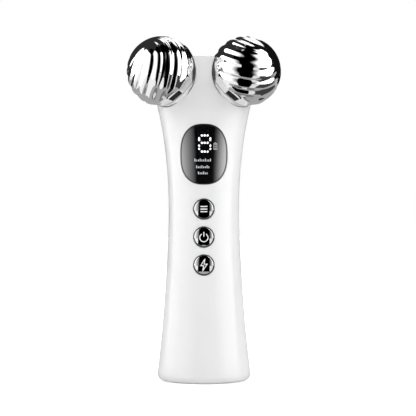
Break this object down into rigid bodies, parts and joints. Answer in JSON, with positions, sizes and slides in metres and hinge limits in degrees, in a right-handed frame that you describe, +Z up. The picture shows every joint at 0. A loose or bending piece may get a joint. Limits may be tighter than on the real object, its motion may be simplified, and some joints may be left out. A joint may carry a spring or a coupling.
{
  "type": "facial toning device",
  "caption": "Y-shaped white facial toning device with free-turning fluted chrome ball rollers, a dark display window and round push buttons.",
  "frame": {"origin": "centre of the flat underside, where the device stands", "axes": "+Z up along the handle, +X to the right seen from the front, front with the display towards -Y"},
  "size_m": [0.0714, 0.0472, 0.1606],
  "materials": {
    "shell_white": "high-gloss moulded white",
    "cup_white": "gloss moulded white",
    "roller_chrome": "mirror chrome plating",
    "button_chrome": "mirror chrome plating",
    "ring_dark": "gloss dark grey",
    "window_black": "gloss smoked black",
    "display_light": "lit white",
    "symbol_white": "printed white",
    "base_white": "fine matt texture",
    "board_green": "solder resist",
    "part_black": "moulded black",
    "ferrite_grey": "sintered ferrite",
    "steel": "turned and nickel plated",
    "bronze": "spring bronze",
    "bearing_white": "self-lubricating plastic",
    "core_grey": "moulded grey",
    "cell_blue": "shrink sleeve",
    "seal_black": "foam adhesive"
  },
  "bodies": {
    "handle": {"front_shell": "shell_white", "rear_shell": "shell_white", "base_plate": "base_white", "base_screws": "steel", "chassis_screws": "steel", "window_lens": "window_black", "window_seal": "seal_black", "display_module": "part_black", "button_rings": "ring_dark", "tact_switches": "part_black", "main_board": "board_green", "pulse_coil": "ferrite_grey", "battery_cell": "cell_blue", "battery_cradle": "core_grey", "charge_board": "board_green", "charge_socket": "steel", "spindle_carrier": "core_grey", "spindle_left": "steel", "contact_spring_left": "bronze", "roller_cup_left": "cup_white", "thrust_washer_left": "bearing_white", "retaining_clip_left": "steel", "spindle_right": "steel", "contact_spring_right": "bronze", "roller_cup_right": "cup_white", "thrust_washer_right": "bearing_white", "retaining_clip_right": "steel"},
    "left_roller": {"roller_shell_left": "roller_chrome", "roller_hub_left": "core_grey", "inner_bush_left": "bearing_white", "outer_bush_left": "bearing_white"},
    "right_roller": {"roller_shell_right": "roller_chrome", "roller_hub_right": "core_grey", "inner_bush_right": "bearing_white", "outer_bush_right": "bearing_white"},
    "mode_key": {"mode_button": "button_chrome"},
    "power_key": {"power_button": "button_chrome"},
    "level_key": {"level_button": "button_chrome"}
  },
  "joints": [
    {"name": "left_roller_spin", "type": "hinge", "parent": "handle", "child": "left_roller", "pos_m": [-0.0195, -0.01241, 0.1444], "axis": [-0.6681, -0.4067, 0.623], "continuous": true},
    {"name": "right_roller_spin", "type": "hinge", "parent": "handle", "child": "right_roller", "pos_m": [0.0195, -0.01241, 0.1444], "axis": [0.6681, -0.4067, 0.623], "continuous": true},
    {"name": "mode_button_press", "type": "slide", "parent": "handle", "child": "mode_key", "axis": [0, 1, 0], "range_m": [0, 0.0005], "stiffness_N_per_m": 400, "springref_m": -0.002},
    {"name": "power_button_press", "type": "slide", "parent": "handle", "child": "power_key", "axis": [0, 1, 0], "range_m": [0, 0.0005], "stiffness_N_per_m": 400, "springref_m": -0.002},
    {"name": "level_button_press", "type": "slide", "parent": "handle", "child": "level_key", "axis": [0, 1, 0], "range_m": [0, 0.0005], "stiffness_N_per_m": 400, "springref_m": -0.002}
  ]
}
